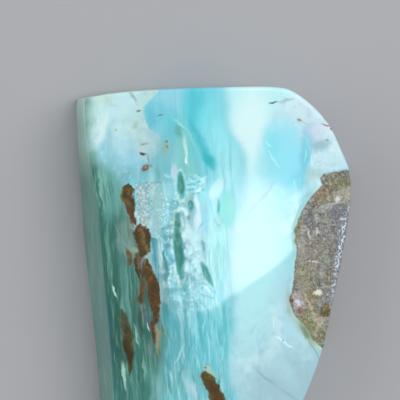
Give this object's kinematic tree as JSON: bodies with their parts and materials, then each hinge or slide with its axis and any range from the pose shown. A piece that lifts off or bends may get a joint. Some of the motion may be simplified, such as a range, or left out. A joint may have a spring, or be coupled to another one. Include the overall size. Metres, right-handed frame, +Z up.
{
  "type": "polished andean blue opal slab",
  "caption": "Free-form slab of polished blue opal with brown veins and a rough patch of host rock, lying on its flat back.",
  "frame": {"origin": "under the middle of the stone's box, on the surface its flat back rests on", "axes": "+Z up, out of the polished face; +Y along the stone towards its square-cut end; +X towards the side with the rough host rock"},
  "size_m": [0.0306, 0.0458, 0.007],
  "materials": {
    "opal": "polished translucent stone, cloudy pale blue to blue-green, with brown veins and a rough grey-brown patch"
  },
  "bodies": {
    "root": {"opal_stone": "opal"}
  },
  "joints": []
}
